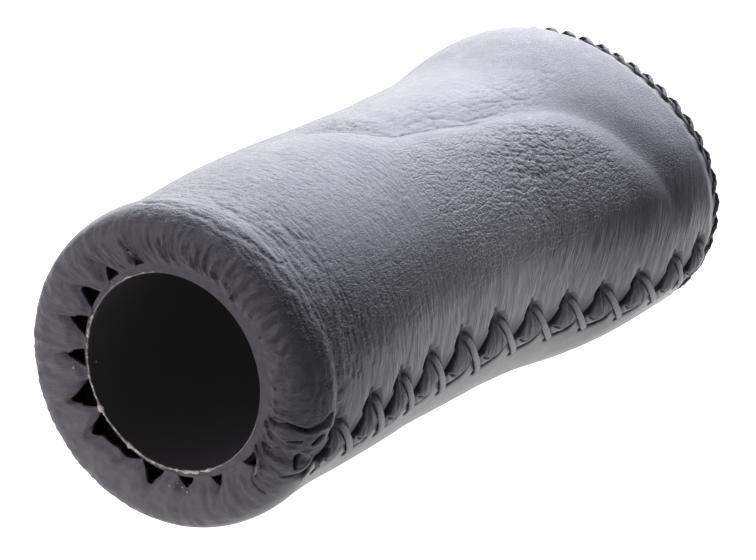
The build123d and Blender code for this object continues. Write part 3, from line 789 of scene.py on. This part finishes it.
# from the middle of the outer face out to the edge, round it, and back in below
prof = [(f, 91.92) for f in np.linspace(0.03, 0.92, 46)]
prof += [(0.945, 91.90), (0.965, 91.83), (0.980, 91.68), (0.988, 91.48), (0.988, 91.2), (0.982, 90.98), (0.965, 90.84)]
prof += [(f, 90.80) for f in (0.9, 0.7, 0.45, 0.2, 0.03)]
cy0, cz0 = ey.mean(), ez.mean()
for i, (f, x) in enumerate(prof):
    yy = cy0 + (ey - cy0) * (f - 0.006 * (f > 0.9))
    zz = cz0 + (ez - cz0) * (f - 0.006 * (f > 0.9))
    xx = np.full(n_c, x)
    if i < 48:
        dome = 0.10 * (1 - f * f)
        pucker = smooth(0.80, 0.94, f)
        pull = -0.16 * pucker * (0.5 + 0.5 * wave) + 0.05 * pucker * noise(phi_c * 60, np.full(n_c, f * 9), 401)
        grain = 0.05 * fbm(yy / 6, zz / 6, 402) + 0.025 * noise(yy / 1.1, zz / 1.1, 403)
        f1, f2 = cells(yy / 0.62, zz / 0.62, 404)
        grain = grain + 0.03 * (1 - np.exp(-4 * (f2 - f1)) - 0.7)
        xx = xx + dome + pull + grain * min(1, f * 8)
    elif f > 0.95:
        yy = yy - (ey - cy0) / er * 0.07 * (0.5 + 0.5 * wave)
        zz = zz - (ez - cz0) / er * 0.07 * (0.5 + 0.5 * wave)
    rings_c.append(np.stack([xx, yy, zz], -1))
grid_c = np.stack(rings_c)
store = {"v": [grid_c.reshape(-1, 3)], "f": [], "n": 0}
m_c = len(prof)
for i in range(m_c - 1):
    for j in range(n_c):
        j2 = (j + 1) % n_c
        store["f"].append((i * n_c + j, (i + 1) * n_c + j, (i + 1) * n_c + j2, i * n_c + j2))
for ring_i, order in ((0, 1), (m_c - 1, -1)):
    mid = grid_c[ring_i].mean(0)
    store["v"].append(mid[None])
    at = m_c * n_c + (0 if ring_i == 0 else 1)
    for j in range(n_c):
        j2 = (j + 1) % n_c
        tri = (at, ring_i * n_c + j, ring_i * n_c + j2)
        store["f"].append(tri if order == 1 else tri[::-1])
cap = finish_store("end_cap_disc", store)
cap_cut = np.zeros(len(cap.data.vertices))
for i in range(50, m_c):
    cap_cut[i * n_c : (i + 1) * n_c] = 1.0
attribute(cap.data, "raw_edge_and_highlight", cap_cut)
for name in ("painted_shade", "pebbly", "stretched", "face", "hair", "hair_v", "hair_t"):
    attribute(cap.data, name, np.zeros(len(cap.data.vertices)))

# ---------------------------------------------------------------- dried glue round the mouth
glue = {"v": [], "f": [], "n": 0}
dg_ = np.linspace(200, 440, 460)
gp = dg_ * RAD
thick = 0.055 + 0.05 * noise(dg_ / 3.0, 0 * dg_, 501) + 0.04 * noise(dg_ / 1.1, 0 * dg_, 502)
main = smooth(236, 250, dg_) * (1 - smooth(382, 396, dg_))
thick = thick * (0.25 + 0.95 * main)
for at, wide, size in ((329, 2.6, 0.24), (301, 2.2, 0.08), (288, 1.6, 0.07), (246, 2.6, 0.12), (256, 2.0, 0.07), (347, 3.0, 0.07), (421, 3.0, 0.07), (433, 1.5, 0.07), (262, 1.5, 0.05)):
    thick = thick + size * np.exp(-(((dg_ - at) / wide) ** 2))
thick = np.maximum(thick, 0.018)
gr = 11.10 + 0.05 * noise(dg_ / 4.0, 0 * dg_, 503) + 0.25 * np.maximum(thick - 0.1, 0)
gx = -0.015 - 0.25 * thick + 0.03 * noise(dg_ / 2.2, 0 * dg_, 504)
pts = np.stack([gx, gr * np.cos(gp), gr * np.sin(gp)], -1)
nrm = np.tile(np.array([-1.0, 0, 0]), (len(pts), 1))
ring, run = tube(pts, nrm, thick * 1.25, thick, around=12, power=2.0)
wiggle = noise(run[:, None] / 0.16 + 0 * ring[..., 0], np.arange(12)[None] / 1.6, 505)
ring = ring + (ring - pts[:, None]) * 0.28 * wiggle[..., None]
add_tube(glue, ring)
# crumbs of it on the hem and just inside
for deg, r, x, size in ((352.5, 12.75, -0.42, 0.16), (354.5, 10.72, 1.0, 0.10), (264.5, 12.75, -0.42, 0.13), (262.0, 13.25, -0.48, 0.10), (272.0, 12.9, -0.42, 0.12), (267.5, 12.4, -0.36, 0.08), (348.0, 11.9, -0.1, 0.07)):
    c0 = np.array([x, r * math.cos(deg * RAD), r * math.sin(deg * RAD)])
    lat = np.linspace(0.12, math.pi - 0.12, 9)
    lon = np.linspace(0, 2 * math.pi, 12, endpoint=False)
    la, ln = np.meshgrid(lat, lon, indexing="ij")
    bump = size * (1 + 0.25 * noise(la * 2.2 + deg, ln * 1.0, 506))
    ball = np.stack([c0[0] + 0.7 * bump * np.cos(la), c0[1] + bump * np.sin(la) * np.cos(ln), c0[2] + bump * np.sin(la) * np.sin(ln)], -1)
    add_tube(glue, ball)
bead = finish_store("glue_line", glue)


# ---------------------------------------------------------------- materials
class Nodes:
    def __init__(self, name):
        self.mat = bpy.data.materials.new(name)
        self.mat.use_nodes = True
        self.tree = self.mat.node_tree
        self.tree.nodes.clear()
        self.out = self.tree.nodes.new("ShaderNodeOutputMaterial")
        self.bsdf = self.tree.nodes.new("ShaderNodeBsdfPrincipled")
        self.tree.links.new(self.bsdf.outputs[0], self.out.inputs[0])

    def link(self, a, b):
        self.tree.links.new(a, b)

    def put(self, socket, value):
        if hasattr(value, "is_linked"):
            self.link(value, socket)
        else:
            socket.default_value = value

    def math(self, op, a, b=0.0, c=0.0):
        n = self.tree.nodes.new("ShaderNodeMath")
        n.operation = op
        for i, v in enumerate((a, b, c)):
            self.put(n.inputs[i], v)
        return n.outputs[0]

    def attr(self, name):
        n = self.tree.nodes.new("ShaderNodeAttribute")
        n.attribute_name = name
        return n.outputs["Fac"]

    def coords(self, scale=(1, 1, 1)):
        if not hasattr(self, "_tc"):
            self._tc = self.tree.nodes.new("ShaderNodeTexCoord").outputs["Object"]
        n = self.tree.nodes.new("ShaderNodeVectorMath")
        n.operation = "MULTIPLY"
        self.link(self._tc, n.inputs[0])
        n.inputs[1].default_value = [1000.0 * s for s in scale]
        return n.outputs[0]

    def noise(self, scale, vec=(1, 1, 1), detail=2.0, rough=0.5):
        n = self.tree.nodes.new("ShaderNodeTexNoise")
        self.link(self.coords(vec), n.inputs["Vector"])
        n.inputs["Scale"].default_value = scale
        n.inputs["Detail"].default_value = detail
        n.inputs["Roughness"].default_value = rough
        return n.outputs["Fac"]

    def voronoi(self, scale, vec=(1, 1, 1), feature="DISTANCE_TO_EDGE"):
        n = self.tree.nodes.new("ShaderNodeTexVoronoi")
        n.feature = feature
        self.link(self.coords(vec), n.inputs["Vector"])
        n.inputs["Scale"].default_value = scale
        return n.outputs["Distance"]

    def ramp(self, value, lo, hi, a=0.0, b=1.0):
        n = self.tree.nodes.new("ShaderNodeMapRange")
        n.interpolation_type = "SMOOTHSTEP"
        self.put(n.inputs[0], value)
        for i, v in ((1, lo), (2, hi), (3, a), (4, b)):
            n.inputs[i].default_value = v
        return n.outputs[0]

    def mix(self, fac, a, b):
        n = self.tree.nodes.new("ShaderNodeMix")
        n.data_type = "RGBA"
        self.put(n.inputs["Factor"], fac)
        for s, v in ((6, a), (7, b)):
            self.put(n.inputs[s], v)
        return n.outputs[2]

    def bump(self, height, distance, strength=1.0, after=None):
        n = self.tree.nodes.new("ShaderNodeBump")
        n.inputs["Strength"].default_value = strength
        n.inputs["Distance"].default_value = distance
        self.put(n.inputs["Height"], height)
        if after is not None:
            self.link(after, n.inputs["Normal"])
        return n.outputs[0]

    def set(self, **values):
        names = {"color": "Base Color", "rough": "Roughness", "spec": "Specular IOR Level", "sheen": "Sheen Weight", "sheen_rough": "Sheen Roughness", "sheen_tint": "Sheen Tint", "coat": "Coat Weight", "coat_rough": "Coat Roughness", "normal": "Normal", "sss": "Subsurface Weight", "transmission": "Transmission Weight", "ior": "IOR", "coat_normal": "Coat Normal"}
        for key, value in values.items():
            self.put(self.bsdf.inputs[names[key]], value)


def leather(name, grain=True):
    m = Nodes(name)
    raw_edge_and_highlight_m, painted_shade_m, peb, stre, facem = (m.attr(a) for a in ("raw_edge_and_highlight", "painted_shade", "pebbly", "stretched", "face"))
    blotch = m.noise(0.16, detail=4.0)
    base_c = m.mix(m.ramp(blotch, 0.35, 0.68), (0.015, 0.015, 0.017, 1), (0.023, 0.023, 0.026, 1))
    face_c = m.mix(facem, base_c, (0.062, 0.059, 0.062, 1))
    # raw edges get a lighter colour; in the seam's crescents this is partly a painted highlight
    col = m.mix(m.math("MULTIPLY", raw_edge_and_highlight_m, 0.85), face_c, (0.175, 0.165, 0.160, 1))
    # painted shade: colour darkened where the seam's holes, slits and hollows and the near-end join lie in shade
    col = m.mix(m.math("MULTIPLY", painted_shade_m, 0.88), col, (0.004, 0.004, 0.005, 1))
    # fine grain: small cells over the whole hide, weaker where it is stretched
    peb_h = m.ramp(m.voronoi(1.75, (0.72, 1.0, 1.0)), 0.0, 0.20)
    peb_l = m.ramp(m.voronoi(0.62, (0.55, 1.0, 1.0)), 0.0, 0.10)
    peb_w = m.math("MULTIPLY", peb, m.ramp(m.noise(0.30, detail=2.0), 0.30, 0.60, 0.45, 1.0))
    peb_all = m.math("MULTIPLY", m.math("ADD", m.math("MULTIPLY", peb_h, 0.6), m.math("MULTIPLY", peb_l, 0.5)), peb_w)
    n0 = m.bump(peb_all, 0.000085, 0.9)
    cell = m.ramp(m.voronoi(3.4), 0.0, 0.16)
    cell2 = m.ramp(m.voronoi(1.9, (1.0, 1.15, 1.15)), 0.0, 0.12)
    pores = m.ramp(m.voronoi(2.3, feature="F1"), 0.02, 0.14)
    weight = m.math("SUBTRACT", 1.0, m.math("MULTIPLY", stre, 0.75))
    fine_h = m.math("MULTIPLY", m.math("ADD", m.math("MULTIPLY", cell, 0.5), m.math("MULTIPLY", cell2, 0.6)), weight)
    n1 = m.bump(fine_h, 0.000036, 0.9, n0)
    n2 = m.bump(pores, 0.000016, 0.6, n1)
    mott = m.noise(5.0, detail=3.0)
    n3 = m.bump(mott, 0.000030, 0.5, n2)
    hv = m.tree.nodes.new("ShaderNodeCombineXYZ")
    m.link(m.math("MULTIPLY", m.attr("hair_v"), 2.9), hv.inputs[0])
    m.link(m.math("MULTIPLY", m.attr("hair_t"), 0.42), hv.inputs[1])
    hn = m.tree.nodes.new("ShaderNodeTexNoise")
    m.link(hv.outputs[0], hn.inputs["Vector"])
    hn.inputs["Scale"].default_value = 1.0
    hn.inputs["Detail"].default_value = 3.0
    hairw = m.math("MULTIPLY", m.attr("hair"), m.ramp(m.noise(0.28, detail=2.0), 0.32, 0.64, 0.25, 1.0))
    hair_h = m.math("MULTIPLY", hn.outputs["Fac"], hairw)
    n3 = m.bump(hair_h, 0.00014, 0.8, n3)
    col = m.mix(m.math("MULTIPLY", m.ramp(hn.outputs["Fac"], 0.45, 0.66, 0.0, 0.50), hairw), col, (0.062, 0.060, 0.060, 1))
    # painted shade: the face's crease valleys are darkened in colour
    crease_shade = m.math("MULTIPLY", m.ramp(hn.outputs["Fac"], 0.56, 0.40, 0.0, 0.55), m.math("MULTIPLY", facem, hairw))
    col = m.mix(crease_shade, col, (0.026, 0.025, 0.027, 1))
    worn = m.math("MULTIPLY", m.ramp(m.noise(1.1, detail=3.0), 0.42, 0.64, 0.0, 0.45), facem)
    col = m.mix(worn, col, (0.040, 0.038, 0.040, 1))
    rough = m.math("ADD", 0.27, m.math("MULTIPLY", m.noise(0.35, detail=3.0), 0.14))
    rough = m.math("ADD", rough, m.math("MULTIPLY", facem, 0.19))
    rough = m.math("ADD", rough, m.math("MULTIPLY", raw_edge_and_highlight_m, 0.25))
    # painted shade is also made rough and its specular reflection removed
    rough = m.math("ADD", rough, m.math("MULTIPLY", painted_shade_m, 0.35))
    spec = m.math("MAXIMUM", m.math("SUBTRACT", 0.5, m.math("MULTIPLY", painted_shade_m, 0.52)), 0.0)
    m.set(color=col, rough=rough, spec=spec, normal=n3, sheen=0.05, sheen_rough=0.4, sheen_tint=(0.9, 0.92, 1.0, 1))
    return m.mat


def waxed(name):
    m = Nodes(name)
    speck = m.noise(7.0, detail=3.0)
    col = m.mix(m.ramp(speck, 0.40, 0.64), (0.040, 0.040, 0.042, 1), (0.155, 0.155, 0.158, 1))
    # painted shade: the strand is darkened where it sinks into the seam
    col = m.mix(m.math("MULTIPLY", m.attr("painted_shade"), 0.85), col, (0.014, 0.014, 0.015, 1))
    fibres = m.noise(3.2, (1, 1, 1), detail=5.0, rough=0.7)
    m.set(color=col, rough=0.55, spec=0.45, normal=m.bump(fibres, 0.000060, 0.7), sheen=0.2, sheen_rough=0.5)
    return m.mat


def dark_waxed(name):
    m = Nodes(name)
    speck = m.noise(5.0, detail=3.0)
    col = m.mix(m.ramp(speck, 0.45, 0.75), (0.010, 0.012, 0.013, 1), (0.035, 0.040, 0.042, 1))
    fibres = m.noise(4.0, detail=5.0, rough=0.7)
    m.set(color=col, rough=0.42, spec=0.5, normal=m.bump(fibres, 0.000050, 0.7), sheen=0.1, sheen_rough=0.5)
    return m.mat


def plastic(name):
    """The sleeve: a dusty taupe end face, darkened down the bore as painted shade, with a faint painted glow there."""
    m = Nodes(name)
    sep = m.tree.nodes.new("ShaderNodeSeparateXYZ")
    m.link(m.coords(), sep.inputs[0])
    # painted shade and painted glow grow from the mouth into the bore
    deep = m.ramp(sep.outputs[0], 0.15, 0.9)
    scuff = m.noise(0.9, detail=4.0)
    face_c = m.mix(m.ramp(scuff, 0.35, 0.7), (0.050, 0.046, 0.048, 1), (0.072, 0.066, 0.067, 1))
    col = m.mix(deep, face_c, (0.022, 0.020, 0.021, 1))
    # painted glow: a faint pinkish emission down the bore
    m.bsdf.inputs["Emission Color"].default_value = (1.0, 0.93, 0.96, 1)
    m.link(m.math("MULTIPLY", deep, 0.0065), m.bsdf.inputs["Emission Strength"])
    n1 = m.bump(m.noise(1.6, detail=3.0), 0.00006, 0.6)
    rough = m.math("ADD", 0.55, m.math("MULTIPLY", deep, 0.20))
    spec = m.math("SUBTRACT", 0.45, m.math("MULTIPLY", deep, 0.30))
    m.set(color=col, rough=rough, spec=spec, normal=n1)
    return m.mat


def rubber(name, color):
    m = Nodes(name)
    fine_n = m.noise(2.5, detail=3.0)
    m.set(color=m.mix(fine_n, color, tuple(0.7 * c for c in color[:3]) + (1,)), rough=0.8, spec=0.3, normal=m.bump(fine_n, 0.00005, 0.5))
    return m.mat


def glue_mat(name):
    m = Nodes(name)
    tone = m.noise(1.3, detail=3.0)
    m.set(color=m.mix(m.ramp(tone, 0.35, 0.7), (0.23, 0.20, 0.165, 1), (0.52, 0.50, 0.42, 1)), rough=0.38, spec=0.5, normal=m.bump(m.noise(4.0, detail=3.0), 0.00005, 0.6), sss=0.0)
    return m.mat


def dress(obj, material):
    obj.data.materials.clear()
    obj.data.materials.append(material)


hide = leather("black_leather")
dress(cover, hide)
dress(cap, hide)
dress(thread, waxed("waxed_lace"))
dress(whip, dark_waxed("waxed_rim_thread"))
dress(bead, glue_mat("dry_glue"))
dress(nodes["bar_sleeve"], plastic("sleeve_black_plastic"))
dress(nodes["grip_body"], rubber("body_black_rubber", (0.012, 0.012, 0.012, 1)))
dress(nodes["palm_pad"], rubber("pad_grey_gel", (0.11, 0.11, 0.12, 1)))

for piece, node, slot in (
    (cover, "leather_cover", "cover_leather"),
    (cap, "end_cap", "cap_leather"),
    (thread, "seam_thread", "waxed_thread"),
    (whip, "rim_thread", "waxed_thread"),
    (bead, "glue_bead", "dried_glue"),
):
    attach(piece, "root")
    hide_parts(node)

# ---------------------------------------------------------------- floor, light, camera
lowest = float(min(flat[:, 2].min(), -19.0)) * MM
bpy.ops.mesh.primitive_plane_add(size=8.0, location=(0.05, 0.0, lowest - 0.00005))
floor = bpy.context.object
floor.name = "floor"
fm = Nodes("pale_floor")
fm.set(color=(0.24, 0.24, 0.24, 1), rough=0.9, spec=0.0)
fm.bsdf.inputs["Emission Color"].default_value = (1.0, 0.985, 0.985, 1)
sepf = fm.tree.nodes.new("ShaderNodeSeparateXYZ")
fm.link(fm.coords(), sepf.inputs[0])


def along_floor(ax, ay, offset):
    a = fm.math("MULTIPLY", sepf.outputs[0], ax)
    b = fm.math("MULTIPLY", sepf.outputs[1], ay)
    return fm.math("ADD", fm.math("ADD", a, b), offset)


# the table is lit from below in a broad patch: depth runs away from the camera, across runs to its right
depth = along_floor(0.8653, 0.5012, 43.3)
across = along_floor(0.5012, -0.8653, 25.1)
lit = fm.ramp(depth, -40.0, 2.0)
spread = fm.math("MULTIPLY", fm.math("MAXIMUM", depth, 0.0), 0.15)
lit2 = fm.ramp(fm.math("SUBTRACT", across, spread), 85.0, 128.0, 1.0, 0.0)
left_side = fm.ramp(fm.math("ADD", across, spread), -130.0, -90.0, 1.75, 1.32)
glow = fm.math("MULTIPLY", fm.math("MULTIPLY", lit, lit2), left_side)
fm.link(glow, fm.bsdf.inputs["Emission Strength"])
dress(floor, fm.mat)

world = bpy.data.worlds.new("studio")
bpy.context.scene.world = world
world.use_nodes = True
wt = world.node_tree
wt.nodes.clear()
wo = wt.nodes.new("ShaderNodeOutputWorld")
wb = wt.nodes.new("ShaderNodeBackground")
wb.inputs["Strength"].default_value = 1.0
tc = wt.nodes.new("ShaderNodeTexCoord")
total = None
# broad soft lights as (azimuth, elevation, colour): over the object, low behind it, and a fill on its mouth
for azimuth, elevation, colour in ((0, 52, (4.45, 4.40, 5.16)), (30, 18, (3.20, 3.25, 3.42)), (150, 18, (2.12, 2.02, 2.32))):
    a, e = azimuth * RAD, elevation * RAD
    dot = wt.nodes.new("ShaderNodeVectorMath")
    dot.operation = "DOT_PRODUCT"
    dot.inputs[1].default_value = (math.cos(e) * math.cos(a), math.cos(e) * math.sin(a), math.sin(e))
    wt.links.new(tc.outputs["Generated"], dot.inputs[0])
    mr = wt.nodes.new("ShaderNodeMapRange")
    mr.interpolation_type = "SMOOTHSTEP"
    mr.inputs[1].default_value = 0.60
    mr.inputs[2].default_value = 1.0
    wt.links.new(dot.outputs["Value"], mr.inputs[0])
    sc_ = wt.nodes.new("ShaderNodeVectorMath")
    sc_.operation = "SCALE"
    sc_.inputs[0].default_value = colour
    wt.links.new(mr.outputs[0], sc_.inputs["Scale"])
    if total is None:
        total = sc_.outputs[0]
    else:
        add = wt.nodes.new("ShaderNodeVectorMath")
        add.operation = "ADD"
        wt.links.new(total, add.inputs[0])
        wt.links.new(sc_.outputs[0], add.inputs[1])
        total = add.outputs[0]
wt.links.new(total, wb.inputs["Color"])
wt.links.new(wb.outputs[0], wo.inputs[0])

cam_data = bpy.data.cameras.new("camera")
cam_data.sensor_fit = "HORIZONTAL"
cam_data.sensor_width = 36.0
cam_data.lens = 2600.0 / 756.0 * 36.0
cam_data.clip_start, cam_data.clip_end = 0.01, 20.0
cam = bpy.data.objects.new("camera", cam_data)
bpy.context.scene.collection.objects.link(cam)
right = np.array([0.50118, -0.86535, 0.0])
forward = np.array([0.82039, 0.47514, -0.31814])
right /= np.linalg.norm(right)
forward /= np.linalg.norm(forward)
upv = np.cross(right, forward)
cam.matrix_world = Matrix([[right[0], upv[0], -forward[0], -0.212148], [right[1], upv[1], -forward[1], -0.148024], [right[2], upv[2], -forward[2], 0.096858], [0, 0, 0, 1]])
bpy.context.scene.camera = cam
bpy.context.scene.view_settings.view_transform = "Standard"
